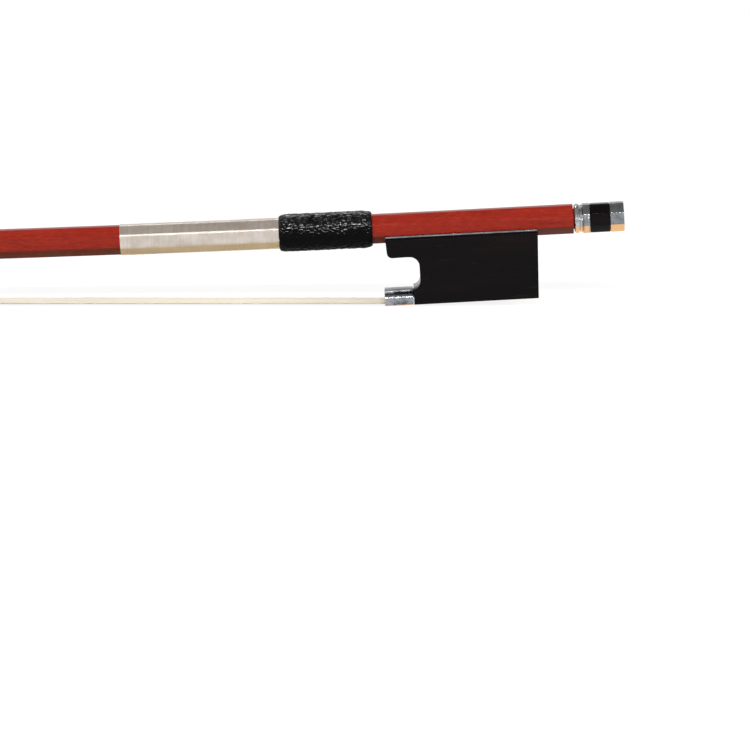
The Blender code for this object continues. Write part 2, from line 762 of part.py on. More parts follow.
# Grip
def silver_winding():
    """Fine wire wound close on the octagon: a thin sleeve whose surface is one helical ridge."""
    inner = RUNNING_FIT / 2
    valley = WINDING_THICKNESS - WINDING_RIDGE
    band = 0.0004
    pitch = (WINDING_LENGTH - 2 * band) / (WINDING_TURNS + 1)
    start = WINDING_FROM + band
    work = bmesh.new()

    def corner(distance, k, lift):
        y, z = octagon(stick_width(distance) + 2 * lift)[k % 8]
        return work.verts.new(around_stick(distance, [(y, z)])[0])

    def ring(distance, lift):
        return [corner(distance, k, lift) for k in range(8)]

    lows, highs = [], []
    total = 8 * WINDING_TURNS
    for k in range(total + 9):
        nudge = 0.00002 if k in (0, total + 8) else 0
        lows.append(corner(start + pitch * k / 8, k, valley + nudge))
    for k in range(total + 1):
        highs.append(corner(start + pitch * (k / 8 + 0.5), k, WINDING_THICKNESS))
    for k in range(total):
        work.faces.new((lows[k], lows[k + 1], highs[k + 1], highs[k]))
        work.faces.new((highs[k], highs[k + 1], lows[k + 9], lows[k + 8]))
    work.faces.new((lows[0], highs[0], lows[8]))
    work.faces.new((lows[total], lows[total + 8], highs[total]))
    first, last = ring(WINDING_FROM, valley), ring(WINDING_FROM + WINDING_LENGTH, valley)
    for k in range(7):
        work.faces.new((first[k], first[k + 1], lows[k + 1], lows[k]))
        work.faces.new((last[k + 1], last[k + 2 - 8 * (k == 6)], lows[total + k + 2], lows[total + k + 1]))
    work.faces.new((first[7], first[0], lows[0], lows[8], lows[7]))
    work.faces.new((last[0], last[1], lows[total + 1], lows[total], lows[total + 8]))
    inside = [ring(WINDING_FROM, inner), ring(WINDING_FROM + WINDING_LENGTH, inner)]
    for k in range(8):
        j = (k + 1) % 8
        work.faces.new((inside[0][k], inside[0][j], inside[1][j], inside[1][k]))
        work.faces.new((first[k], first[j], inside[0][j], inside[0][k]))
        work.faces.new((last[k], last[j], inside[1][j], inside[1][k]))
    return add("silver_winding", mesh_of("silver_winding", work), SILVER)


def ray_outline(width, roundness, sides=24):
    """Points (y, z) between an octagon (0) and its inscribed circle's size made round (1)."""
    points = []
    for i in range(sides):
        angle = math.tau * (i + 0.5) / sides
        facet = (angle + math.pi / 8) % (math.pi / 4) - math.pi / 8
        radius = width / 2 * (roundness + (1 - roundness) / math.cos(facet))
        points.append((radius * math.cos(angle), radius * math.sin(angle)))
    return points


def thumb_leather():
    """The leather grip: octagonal where it lies on the stick, nearly round outside, drawn in at its ends."""
    rounding = ((0, 1.0), (0.02, 0.45), (0.06, 0.16), (0.12, 0.0), (0.5, 0.0), (0.88, 0.0),
                (0.94, 0.16), (0.98, 0.45), (1, 1.0))
    outer, inner = [], []
    for share, drawn in rounding:
        distance = LEATHER_FROM + LEATHER_LENGTH * share
        seat = stick_width(distance) + 2 * GLUE_LINE
        width = LEATHER_DIAMETER + (seat + 2 * LEATHER_END_THICKNESS - LEATHER_DIAMETER) * drawn
        outer.append(around_stick(distance, ray_outline(width, LEATHER_ROUNDNESS)))
        inner.append(around_stick(distance, ray_outline(seat, 0)))
    return add("thumb_leather", sleeve("thumb_leather", outer, inner, 40), LEATHER)


# Frog
def frog_side_outline():
    """The ebony seen from the side: rounded thumb piece, throat, and the step where the ferrule sits."""
    step = FERRULE_BACK + GLUE_LINE
    upper, lower, nose = 0.0030, 0.0026, 0.0016
    return (
        [(FROG_LENGTH, -FROG_TOP), (0.0, -FROG_TOP), (0.0003, -THUMB_DEPTH + nose)]
        + arc((0.0003 + nose, -THUMB_DEPTH + nose), nose, 200, 270, 4)
        + arc((THROAT_LENGTH - upper, -THUMB_DEPTH - upper), upper, 90, 0, 8)
        + arc((THROAT_LENGTH - lower, SHOULDER + lower), lower, 0, -66, 6)
        + [(step, SHOULDER), (step, -FROG_DEPTH), (heel_back(-FROG_DEPTH), -FROG_DEPTH)]
    )


def heel_back(height):
    """How far back the frog reaches at this height: its heel leans a little under the frog."""
    return FROG_LENGTH + HEEL_LEAN * height / FROG_DEPTH


def frog_section(bottom_width):
    """The ebony seen from the end: full near the stick, drawn in towards the slide."""
    top, bottom = FROG_TOP_WIDTH / 2, bottom_width / 2
    side = [
        (top - 0.0004, 0.0),
        (top - 0.0004, -FROG_TOP),
        (top, -FROG_TOP - 0.0005),
        (top - 0.04 * (top - bottom), -0.22 * FROG_DEPTH),
        (top - 0.50 * (top - bottom), -0.48 * FROG_DEPTH),
        (top - 0.88 * (top - bottom), -0.75 * FROG_DEPTH),
        (bottom, -0.975 * FROG_DEPTH),
        (bottom - 0.0004, -FROG_DEPTH),
    ]
    return side + [(-y, z) for y, z in reversed(side)]


def channel_outline(offset):
    """The handle's octagon grown by an offset, closed above the frog."""
    half = HANDLE_WIDTH / 2 + offset
    edge = half * OCTAGON_EDGE
    side = [(half, HANDLE_WIDTH), (half, -edge), (edge, -half)]
    return side + [(-y, z) for y, z in reversed(side)]


def lengthways(name, start, end, outline, finish=None, group=CUTTERS, parent=None):
    """A bar along the frog with the same outline of (y, z) points all along."""
    rings = [[Vector((x, y, z)) for y, z in outline] for x in (start, end)]
    return add(name, loft(name, rings, 30), finish, parent or FROG_FRAME, group)


def crown(inset, floor=None):
    """Right half of the ferrule's arched top, drawn in by an inset, from a floor or its foot upwards."""
    half = FERRULE_WIDTH / 2 - inset
    rise = FERRULE_CROWN - inset / 2
    foot = SHOULDER - inset - rise
    start = 0.0 if floor is None else math.asin((floor - foot) / rise)
    steps = 6
    points = []
    for i in range(steps + 1):
        angle = start + (CROWN_SWEEP - start) * i / steps
        points.append((half * math.cos(angle) ** CROWN_FULLNESS, foot + rise * math.sin(angle)))
    return points


def ferrule_outline(inset):
    """The ferrule's D shape, drawn in by an inset: flat below, short sides and an arched crown."""
    half = FERRULE_WIDTH / 2 - inset
    bottom = -FROG_DEPTH + inset
    right = [(half - FERRULE_CORNER, bottom), (half, bottom + FERRULE_CORNER)] + crown(inset)
    return right + [(-y, z) for y, z in reversed(right)]


def slide_outline(low, high):
    """Dovetailed section between two heights above the frog's bottom."""
    side = [(SLIDE_WIDTH / 2 + SLIDE_DOVETAIL / 2 * h / SLIDE_DEPTH, h - FROG_DEPTH) for h in (low, high)]
    return side + [(-y, z) for y, z in reversed(side)]


def grown(outline, width):
    return [(y + math.copysign(width, y), z) for y, z in outline]


def frog_body():
    made = flat_outline("frog_body", frog_side_outline(), FROG_TOP_WIDTH, EBONY, FROG_FRAME)
    front, heel = (
        [Vector((x, y, z)) for y, z in frog_section(width)]
        for x, width in (
            (-0.002, FROG_BOTTOM_WIDTH_FRONT),
            (FROG_LENGTH + 0.002, FROG_BOTTOM_WIDTH_HEEL),
        )
    )
    cheeks = add("frog_cheeks", loft("frog_cheeks", [front, heel]), None, FROG_FRAME, CUTTERS)
    keep_common(made, cheeks)
    tongue = lengthways(
        "frog_tongue", -FERRULE_REACH + HIDDEN_GAP, FERRULE_BACK + 0.0012,
        tongue_outline(),
    )
    join(made, tongue)
    hollows = [cheek_hollow(side) for side in (1, -1)]
    channel = lengthways(
        "stick_channel", -0.003, FROG_LENGTH + 0.003,
        channel_outline(RUNNING_FIT + UNDERSLIDE_THICKNESS + GLUE_LINE),
    )
    slide_way = lengthways(
        "slide_way", FERRULE_BACK - 0.001, HEEL_FROM,
        grown(slide_outline(-0.001, SLIDE_DEPTH + GLUE_LINE), GLUE_LINE),
    )
    hair_way = box(
        "hair_way",
        (FERRULE_BACK - 0.001, -SLIDE_WIDTH / 2, -FROG_DEPTH + SLIDE_DEPTH),
        (FROG_MORTISE_FROM + 0.001, SLIDE_WIDTH / 2, HAIR_LEVEL + HAIR_THICKNESS / 2 + HIDDEN_GAP),
        parent=FROG_FRAME, group=CUTTERS,
    )
    mortise = box(
        "frog_mortise",
        (FROG_MORTISE_FROM, -FROG_MORTISE_WIDTH / 2, -FROG_DEPTH + SLIDE_DEPTH / 2),
        (FROG_MORTISE_FROM + FROG_MORTISE_LENGTH, FROG_MORTISE_WIDTH / 2, FROG_MORTISE_ROOF),
        parent=FROG_FRAME, group=CUTTERS,
    )
    shank = EYELET_SHANK / 2 + GLUE_LINE
    eyelet_hole = cylinder(
        "eyelet_hole", (EYELET_AT, 0, -EYELET_SHANK_DEPTH - HIDDEN_GAP), (EYELET_AT, 0, 0), shank,
        parent=FROG_FRAME, group=CUTTERS, sides=20,
    )
    cut(made, *hollows, channel, slide_way, hair_way, mortise, eyelet_hole)
    cut(made, heel_room())
    for spot in SCREW_SPOTS:
        cut(made, cylinder(
            f"screw_hole_{round(spot * 1e4)}", (spot, 0, SHEET_SCREW_END - GLUE_LINE), (spot, 0, 0),
            SHEET_SCREW_RADIUS + GLUE_LINE,
            parent=FROG_FRAME, group=CUTTERS, sides=16,
        ))
    return made


def tongue_outline():
    """The ebony inside the ferrule, with room for the wedge and the hair below it."""
    right = crown(FERRULE_WALL + GLUE_LINE, SHOULDER - FERRULE_WALL - TONGUE_THICKNESS)
    return right + [(-y, z) for y, z in reversed(right)]


def cheek_hollow(side):
    """A shallow oval hollow in one cheek, round the thumb's throat."""
    work = bmesh.new()
    bmesh.ops.create_uvsphere(work, u_segments=28, v_segments=16, radius=1)
    size = Vector((HOLLOW_LENGTH / 2, HOLLOW_CURVE, HOLLOW_HEIGHT / 2))
    middle = Vector((
        0.62 * THROAT_LENGTH,
        side * (FROG_TOP_WIDTH / 2 + HOLLOW_CURVE - HOLLOW_DEPTH),
        -(THUMB_DEPTH + FROG_DEPTH - FERRULE_HEIGHT) / 2,
    ))
    for vert in work.verts:
        vert.co = Vector((vert.co[i] * size[i] + middle[i] for i in range(3)))
    name = "cheek_hollow_left" if side > 0 else "cheek_hollow_right"
    return add(name, mesh_of(name, work), None, FROG_FRAME, CUTTERS)


def heel_room():
    """A cutter for the shallow recess that holds both legs of the heel plate."""
    deep = HEEL_PLATE_THICKNESS + GLUE_LINE
    low, out = -FROG_DEPTH - 0.001, 0.001
    start = HEEL_FROM - GLUE_LINE
    outline = [
        (start, low),
        (heel_back(low) + out, low),
        (heel_back(0) + out, out),
        (heel_back(0) - deep, out),
        (heel_back(deep - FROG_DEPTH) - deep, deep - FROG_DEPTH),
        (start, deep - FROG_DEPTH),
    ]
    return flat_outline(
        "heel_recess", outline, SLIDE_WIDTH / 2 + GLUE_LINE, parent=FROG_FRAME, group=CUTTERS
    )


def heel_plate():
    """The L-shaped heel plate: a short leg under the frog and a tall one up its back."""
    thick = HEEL_PLATE_THICKNESS
    top, low = -FROG_TOP - 0.0005, -FROG_DEPTH
    outline = [
        (HEEL_FROM, low),
        (heel_back(low), low),
        (heel_back(top), top),
        (heel_back(top) - thick, top),
        (heel_back(low + thick) - thick, low + thick),
        (HEEL_FROM, low + thick),
    ]
    made = flat_outline("heel_plate", outline, SLIDE_WIDTH / 2, SILVER, FROG_FRAME)
    notch = lengthways(
        "heel_notch", FROG_LENGTH - 0.003, FROG_LENGTH + 0.003,
        channel_outline(RUNNING_FIT + UNDERSLIDE_THICKNESS + GLUE_LINE),
    )
    cut(made, notch)
    add_bevel(made, 0.00012, 1)
    return made


def ferrule():
    outer, inner = ferrule_outline(0), ferrule_outline(FERRULE_WALL)
    ends = (-FERRULE_REACH, FERRULE_BACK)
    stacks = [[[Vector((x, y, z)) for y, z in outline] for x in ends] for outline in (outer, inner)]
    return add("ferrule", sleeve("ferrule", *stacks, 30), SILVER, FROG_FRAME)


def spread_wedge():
    """The wooden wedge that spreads the hair at the ferrule's mouth, thinner towards its inner end."""
    top = SHOULDER - FERRULE_WALL - TONGUE_THICKNESS - GLUE_LINE
    fall = (HAIR_MOUTH - HAIR_LEVEL) / (FERRULE_LENGTH + 2 * HIDDEN_GAP)
    start = HIDDEN_GAP - FERRULE_REACH
    end = start + WEDGE_LENGTH

    def hair_top(x):
        return HAIR_MOUTH - fall * (x + FERRULE_REACH) + HAIR_THICKNESS / 2 + GLUE_LINE

    outline = [(start, hair_top(start)), (end, hair_top(end)), (end, top), (start, top)]
    return flat_outline("spread_wedge", outline, HAIR_WIDTH_AT_FROG / 2 - 0.0001, MAPLE, FROG_FRAME)


def underslide():
    """The bent silver sheet between frog and stick: three facets and a flat wing over each lip.

    It has holes for the eyelet and for its two screws.
    """
    low = -FROG_TOP + GLUE_LINE
    near_side, near_edge = channel_outline(RUNNING_FIT)[1:3]
    far_edge = channel_outline(RUNNING_FIT + UNDERSLIDE_THICKNESS)[2]
    side = [
        near_edge,
        near_side,
        (near_side[0], low + WING_THICKNESS),
        (FROG_TOP_WIDTH / 2 - HIDDEN_GAP, low + WING_THICKNESS),
        (FROG_TOP_WIDTH / 2 - HIDDEN_GAP, low),
        (far_edge[0] + low - far_edge[1], low),
        far_edge,
    ]
    outline = side + [(-y, z) for y, z in reversed(side)]
    made = lengthways("underslide", 0.00015, FROG_LENGTH - 0.00015, outline, SILVER, BOW)
    spots = [(EYELET_AT, EYELET_SHANK / 2), *((spot, SHEET_SCREW_RADIUS) for spot in SCREW_SPOTS)]
    for i, (x, radius) in enumerate(spots):
        cut(made, cylinder(
            f"underslide_hole_{i}", (x, 0, -0.007), (x, 0, -0.003), radius + GLUE_LINE,
            parent=FROG_FRAME, group=CUTTERS, sides=20,
        ))
    return made


def underslide_screws():
    """Two small screws that hold the sheet, their heads a little under its face."""
    for name, spot in zip(("underslide_screw_front", "underslide_screw_rear"), SCREW_SPOTS):
        cylinder(
            name, (spot, 0, SHEET_SCREW_END), (spot, 0, SHEET_SCREW_TOP), SHEET_SCREW_RADIUS,
            STEEL, FROG_FRAME, sides=16,
        )


def slide():
    """The slide that closes the frog: a pearl face on an ebony backing, dovetailed into the frog."""
    low = slide_outline(0, PEARL_THICKNESS)
    high = slide_outline(PEARL_THICKNESS + GLUE_LINE, PEARL_THICKNESS + GLUE_LINE + BACKING_THICKNESS)
    end = SLIDE_FROM + SLIDE_LENGTH
    lengthways("pearl_slide", SLIDE_FROM, end, low, PEARL, BOW)
    lengthways("slide_backing", SLIDE_FROM, end - GLUE_LINE, high, EBONY, BOW)


def frog_fillings():
    """The bound end of the hair and the plug that holds it, inside the frog."""
    half = FROG_MORTISE_WIDTH / 2 - GLUE_LINE
    start, end = FROG_MORTISE_FROM + GLUE_LINE, FROG_MORTISE_FROM + FROG_MORTISE_LENGTH - GLUE_LINE
    box(
        "frog_hair_knot", (start, -half, FROG_KNOT_FLOOR), (end, half, FROG_MORTISE_ROOF - GLUE_LINE),
        HAIR, FROG_FRAME, bevel=0.0008,
    )
    box(
        "frog_plug",
        (start, -half, HAIR_LEVEL + HAIR_THICKNESS / 2 + HIDDEN_GAP),
        (start + FROG_PLUG_LENGTH, half, FROG_KNOT_FLOOR - HIDDEN_GAP),
        MAPLE, FROG_FRAME, bevel=0.0002,
    )


def eyelet():
    """The brass nut round the screw, with the shank that goes down into the frog."""
    half = Vector((EYELET_LENGTH, EYELET_WIDTH, EYELET_HEIGHT)) / 2
    middle = Vector((EYELET_AT, 0, 0))
    made = box("eyelet", middle - half, middle + half, BRASS, FROG_FRAME, bevel=0.0006)
    shank = cylinder(
        "eyelet_shank", (EYELET_AT, 0, -EYELET_SHANK_DEPTH), (EYELET_AT, 0, -EYELET_HEIGHT / 2 + 0.0008),
        EYELET_SHANK / 2 - 0.0001, parent=FROG_FRAME, group=CUTTERS, sides=24,
    )
    bore = cylinder(
        "eyelet_bore", (EYELET_AT - EYELET_LENGTH, 0, 0), (EYELET_AT + EYELET_LENGTH, 0, 0),
        SCREW_DIAMETER / 2 + RUNNING_FIT, parent=FROG_FRAME, group=CUTTERS, sides=20,
    )
    join(made, shank)
    return cut(made, bore)


# Button
def button():
    """The screw with its button: collar, silver ring, ebony, silver cup, ebony end ring and eye."""
    screw_radius = SCREW_DIAMETER / 2
    hole = screw_radius + GLUE_LINE
    collar_end = BUTTON_GAP + COLLAR_LENGTH
    ring_from = collar_end + BUTTON_JOINT
    ebony_from = ring_from + FRONT_RING_LENGTH + BUTTON_JOINT
    rear_from = ebony_from + EBONY_LENGTH + BUTTON_JOINT
    rear_end = rear_from + REAR_RING_LENGTH
    recess = rear_end - END_RECESS
    cylinder(
        "adjuster_screw", (-SCREW_IN_STICK, 0, 0), (recess - 0.0006, 0, 0), screw_radius,
        STEEL, BUTTON_FRAME, sides=24,
    )
    turned("button_collar", collar_profile(collar_end), SILVER, BUTTON_FRAME)
    bars = (
        ("button_front_ring", ring_from, ring_from + FRONT_RING_LENGTH, BUTTON_WIDTH, SILVER),
        ("button_ebony", ebony_from, ebony_from + EBONY_LENGTH, BUTTON_WIDTH - 0.0001, EBONY),
        ("button_rear_ring", rear_from, rear_end, BUTTON_WIDTH, SILVER),
    )
    for name, start, end, width, finish in bars:
        made = octagon_prism(name, start, end, width, finish, BUTTON_FRAME, bevel=0.00015)
        cut(made, cylinder(
            name + "_bore", (start - 0.001, 0, 0), (end + 0.001, 0, 0), hole,
            parent=BUTTON_FRAME, group=CUTTERS, sides=24,
        ))
        if name == "button_rear_ring":
            cut(made, cylinder(
                "end_recess", (recess, 0, 0), (end + 0.001, 0, 0), END_RING_DIAMETER / 2 + BUTTON_JOINT,
                parent=BUTTON_FRAME, group=CUTTERS, sides=40,
            ))
    eye = EYE_DIAMETER / 2
    floor = recess + BUTTON_JOINT
    turned(
        "button_end_ring",
        [
            (floor, eye + BUTTON_JOINT), (rear_end, eye + BUTTON_JOINT),
            (rear_end, END_RING_DIAMETER / 2), (floor, END_RING_DIAMETER / 2),
        ],
        EBONY, BUTTON_FRAME, sides=40,
    )
    cylinder("button_eye", (floor, 0, 0), (rear_end, 0, 0), eye, EYE, BUTTON_FRAME, sides=40)


def collar_profile(end):
    """A fat bead, a groove and a thin bead, round the bore that takes the stick's nipple."""
    bead = COLLAR_DIAMETER / 2
    groove = bead - 0.0004
    bore = NIPPLE_DIAMETER / 2 + RUNNING_FIT
    start = BUTTON_GAP
    fat = start + 0.68 * COLLAR_LENGTH
    bulge = [
        (start + (fat - start) * i / 8, bead - 0.0005 * (2 * i / 8 - 1) ** 2) for i in range(9)
    ]
    neck = [
        (end, groove), (end - 0.00015, groove + 0.0001),
        (fat + 0.00025, groove), (fat + 0.0001, groove - 0.0001),
    ]
    return [(start, bore), (end, bore)] + neck + bulge[::-1]


# Frames: each moving group hangs on an empty that lies on its own joint's axis
HANDLE_FRAME = empty("handle_axis", HANDLE_END, -HANDLE_SLOPE)
FROG_FRAME = empty("frog_slide", (FROG_FRONT, 0, 0), parent=HANDLE_FRAME)
BUTTON_FRAME = empty("button_turn", (0, 0, 0), parent=HANDLE_FRAME)
HEAD_FRAME = head_frame()
bpy.context.view_layer.update()

stick()
plate_layer("tip_plate", 0, PLATE_THICKNESS, IVORY)
plate_layer("tip_liner", PLATE_THICKNESS + GLUE_LINE, PLATE_THICKNESS + GLUE_LINE + LINER_THICKNESS, EBONY)
head_fillings()
hair_ribbon()
silver_winding()
thumb_leather()
frog_body()
underslide()
underslide_screws()
ferrule()
spread_wedge()
slide()
heel_plate()
eyelet()
frog_fillings()
button()
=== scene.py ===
"""The looks of a violin bow: finishes, hair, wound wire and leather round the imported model.

Lengths are in metres in the model's own frame: X runs from the head to the button, Z is up,
and the hair lies below the stick. The camera sees the frog's end of the bow from one side.
"""

import itertools
import json
import math
import random

import bmesh
import bpy
from mathutils import Matrix, Vector, noise
from mathutils.bvhtree import BVHTree


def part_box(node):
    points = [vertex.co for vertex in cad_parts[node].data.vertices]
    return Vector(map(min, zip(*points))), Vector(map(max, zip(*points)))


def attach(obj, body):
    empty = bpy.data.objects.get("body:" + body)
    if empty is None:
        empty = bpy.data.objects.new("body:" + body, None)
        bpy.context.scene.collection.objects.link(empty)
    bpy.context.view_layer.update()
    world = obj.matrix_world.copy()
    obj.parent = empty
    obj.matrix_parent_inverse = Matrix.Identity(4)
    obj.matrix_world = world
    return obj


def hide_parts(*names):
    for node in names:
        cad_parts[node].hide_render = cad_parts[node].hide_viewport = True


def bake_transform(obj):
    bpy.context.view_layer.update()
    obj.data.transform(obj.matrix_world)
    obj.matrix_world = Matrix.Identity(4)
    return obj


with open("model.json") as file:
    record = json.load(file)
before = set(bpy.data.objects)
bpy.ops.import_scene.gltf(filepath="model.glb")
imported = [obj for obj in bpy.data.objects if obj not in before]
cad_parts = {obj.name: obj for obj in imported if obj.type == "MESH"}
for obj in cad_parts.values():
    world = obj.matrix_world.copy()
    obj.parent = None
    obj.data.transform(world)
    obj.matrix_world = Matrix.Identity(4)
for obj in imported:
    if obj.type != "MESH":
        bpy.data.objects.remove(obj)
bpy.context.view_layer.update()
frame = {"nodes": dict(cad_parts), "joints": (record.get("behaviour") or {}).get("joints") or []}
NODES = frame["nodes"]
JOINTS = {joint["name"]: joint for joint in frame["joints"]}

# The handle: its end, its direction towards the button, and the direction from hair to stick
HANDLE_END = Vector(JOINTS["button_turn"]["pos_m"])
ALONG = Vector(JOINTS["frog_slide"]["axis"]).normalized()
ACROSS = Vector((0, 1, 0))
UPRIGHT = Vector((-ALONG.z, 0, ALONG.x))
FROG_LENGTH = 0.0462
FROG_TO_END = 0.0110
FERRULE_REACH = 0.0010
HAIR_BELOW_HANDLE = 0.02205

# Camera: the photograph is 750 pixels square, and shows the stick's end at this pixel
PHOTO_WIDTH = 750
STICK_END_PIXEL = (573.0, 218.6)
PIXELS_PER_METRE = 3299
ELEVATION = math.radians(8.5)
LENS_MM = 250
SENSOR_MM = 36

# Softened copies of the solids: what closes the gap round the liner, and the angles in degrees
FITTING_GAP = 0.0002
SAME_CORNER = 1e-6
FLAT_ANGLE = 0.05
ARRIS_ANGLE = 24
SMOOTH_ANGLE = 40
ARRIS_SEGMENTS = 2

# Grip
STICK_STEP = 0.002
WIRE_DIAMETER = 0.00030
WIRE_SIDES = 5
FACET_PLACES = (-0.45, -0.32, 0.32, 0.45)
WIRE_STEP_AT = 0.0064
WIRE_STEP_HEIGHT = 0.00010
LEATHER_RINGS = 230
LEATHER_SIDES = 200
LEATHER_END = 0.0005
LEATHER_ROLL = 0.0027
LEATHER_ROUNDNESS = 0.85
LEATHER_GAP = 0.0001
PEBBLE_SIZE = 0.00112
PEBBLE_LENGTHWAYS = 0.8
PEBBLE_WANDER = 0.2
PEBBLE_RIM = 2.2
PEBBLE_DEPTH = 0.00013
PEBBLE_LEAN = 2.8
PEBBLE_SEED = 3
END_LEAN = 0.00025

# Hair
STRAND_ROWS = 4
STRANDS_A_ROW = 46
STRAND_RADIUS = 0.000115
STRAND_SIDES = 4
STRAND_WAVES = 9
STRAND_DRIFT = 0.012
HAIR_WIDTH_AT_HEAD = 0.0085
HAIR_WIDTH_AT_FROG = 0.0102
HAIR_THICKNESS = 0.00056
HAIR_THINNING = 0.00024
HAIR_THINS_FROM = 0.10
HAIR_SPANS = 14
NOSE_X = -0.372453
PLATE_CORNER = Vector((NOSE_X, 0, 0.0051))
PLATE_REAR = Vector((NOSE_X + 0.0256, 0, 0.0010))
OPENING_AT = 0.0145
HAIR_FROM = Vector((NOSE_X + 0.0312, 0, 0.0003))
HAIR_TO = (
    HANDLE_END - ALONG * (FERRULE_REACH + FROG_TO_END + FROG_LENGTH) - UPRIGHT * HAIR_BELOW_HANDLE
)

# Floor and sky: the floor turns white between these distances, the sky grey between these heights
FLOOR_HALF_WIDTH = 30
FLOOR_GLOW = 0.86
FLOOR_WHITE = (0.24, 0.24, 0.24)
FLOOR_WHITER = (0.8, 3.0)
SKY_GREYER = (0.10, 0.50)
SKY_LIGHT = 0.34
SKY_OVERHEAD = (0.36, 0.345, 0.33)


# Shader building
class Field:
    """A number or a colour on a surface. Arithmetic on numbers adds Math nodes."""

    def __init__(self, finish, socket):
        self.finish = finish
        self.socket = socket

    def math(self, operation, *values, clamp=False):
        settings = {"operation": operation, "use_clamp": clamp}
        return self.finish.node("Math", settings, dict(enumerate(values)))

    def __add__(self, other):
        return self.math("ADD", self, other)

    __radd__ = __add__

    def __mul__(self, other):
        return self.math("MULTIPLY", self, other)

    __rmul__ = __mul__

    def clamped(self):
        return self.math("ADD", self, 0.0, clamp=True)

    def between(self, low, high):
        """0 where the number is low and 1 where it is high, smooth between them."""
        return self.finish.node(
            "MapRange", {"interpolation_type": "SMOOTHSTEP"},
            {"Value": self, "From Min": low, "From Max": high},
        )


class Finish:
    """One material: a Principled shader, and the nodes that feed it."""

    def __init__(self, name, **sockets):
        self.material = bpy.data.materials.new(name)
        self.material.use_nodes = True
        self.tree = self.material.node_tree
        self.shader = self.tree.nodes["Principled BSDF"]
        for socket, value in sockets.items():
            self.set(socket.replace("_", " ").title().replace("Ior", "IOR"), value)

    def feed(self, socket, value):
        if isinstance(value, Field):
            self.tree.links.new(value.socket, socket)
        elif isinstance(value, tuple) and len(value) == 3 and socket.type == "RGBA":
            socket.default_value = (*value, 1)
        else:
            socket.default_value = value

    def set(self, socket, value):
        self.feed(self.shader.inputs[socket], value)

    def node(self, kind, settings, inputs, output=0):
        """Adds one node: its settings first, then the values or links of its sockets."""
        made = self.tree.nodes.new("ShaderNode" + kind)
        for name, value in settings.items():
            if name == "stops":
                stops = made.color_ramp.elements
                stops.remove(stops[1])
                stops[0].position = value[0][0]
                for place, _ in value[1:]:
                    stops.new(place)
                for stop, (_, colour) in zip(stops, value):
                    stop.color = (*colour, 1)
            else:
                setattr(made, name, value)
        for name, value in inputs.items():
            self.feed(made.inputs[name], value)
        return Field(self, made.outputs[output])

    def grain(
        self, size, detail=2.0, longer=(1, 1, 1), roughness=0.5, shift=(0, 0, 0), turn=(0, 0, 0),
    ):
        """Noise from 0 to 1 with features about this many metres wide, drawn out on turned axes."""
        where = self.node("TexCoord", {}, {}, "Object")
        mapped = self.node(
            "Mapping", {"vector_type": "TEXTURE"},
            {"Vector": where, "Scale": longer, "Location": shift, "Rotation": turn},
        )
        return self.node(
            "TexNoise", {},
            {"Vector": mapped, "Scale": 1 / size, "Detail": detail, "Roughness": roughness},
        )

    def mix(self, share, first, second):
        """A colour between two colours."""
        return self.node(
            "Mix", {"data_type": "RGBA"}, {0: share, 6: first, 7: second}, 2
        )

    def ramp(self, value, *stops):
        return self.node("ValToRGB", {"stops": stops}, {"Fac": value})

    def bump(self, height, distance, strength):
        inputs = {"Height": height, "Distance": distance, "Strength": strength}
        return self.node("Bump", {}, inputs)

    def facing(self, axis):
        """How far a face looks along an axis at rest: 1 along it, -1 straight back."""
        normal = self.node("TexCoord", {}, {}, "Normal")
        return self.node("SeparateXYZ", {}, {"Vector": normal}, axis)

    def facing_down(self):
        """1 on faces that look down at rest, 0 on the others."""
        return self.facing("Z").between(-0.30, -0.60)


def srgb(red, green, blue):
    """A colour given from 0 to 255, as linear light."""
    return tuple(
        (c / 255 / 12.92) if c <= 10 else ((c / 255 + 0.055) / 1.055) ** 2.4
        for c in (red, green, blue)
    )


# A painted tan reflection, laid on silver faces that look down.
PAINTED_TAN_REFLECTION = srgb(232, 182, 128)
HANDLE_TURN = (0, -math.atan2(ALONG.z, ALONG.x), 0)
STICK_SKIN = BVHTree.FromPolygons(
    [corner.co for corner in NODES["stick"].data.vertices],
    [face.vertices for face in NODES["stick"].data.polygons],
)


# Finishes
def pernambuco():
    """Red-brown varnished wood: long darker streaks, fine pores, and painted shade underneath."""
    wood = Finish("pernambuco_varnish", specular_ior_level=0.18)
    streak = wood.grain(0.0018, 3.0, (36, 1, 1), 0.6)
    fine = wood.grain(0.00036, 2.0, (34, 1, 1), 0.55)
    cloud = wood.grain(0.016, 2.0, (3, 1, 1))
    flake = wood.grain(0.0007, 1.0, (2, 1, 2))
    fleck = wood.grain(0.00050, 3.0, (4, 1, 1), 0.65)
    base = wood.ramp(
        streak * 0.25 + fine * 0.25 + fleck * 0.50,
        (0.34, srgb(112, 28, 18)),
        (0.45, srgb(144, 38, 24)),
        (0.54, srgb(158, 42, 28)),
        (0.66, srgb(178, 62, 40)),
    )
    warm = wood.mix(cloud.between(0.35, 0.70) * 0.45, base, srgb(152, 34, 24))
    pores = fine.between(0.60, 0.72) * flake.between(0.45, 0.6)
    grained = wood.mix(pores * 0.55, warm, srgb(84, 18, 12))
    # Faces that look down are painted a darker brown: painted shade.
    wood.set("Base Color", wood.mix(wood.facing_down() * 0.75, grained, srgb(108, 50, 22)))
    wood.set("Roughness", 0.26 + streak * 0.14)
    wood.set("Normal", wood.bump(fine * 0.6 + streak * 0.4, 0.00003, 0.35))
    return wood.material


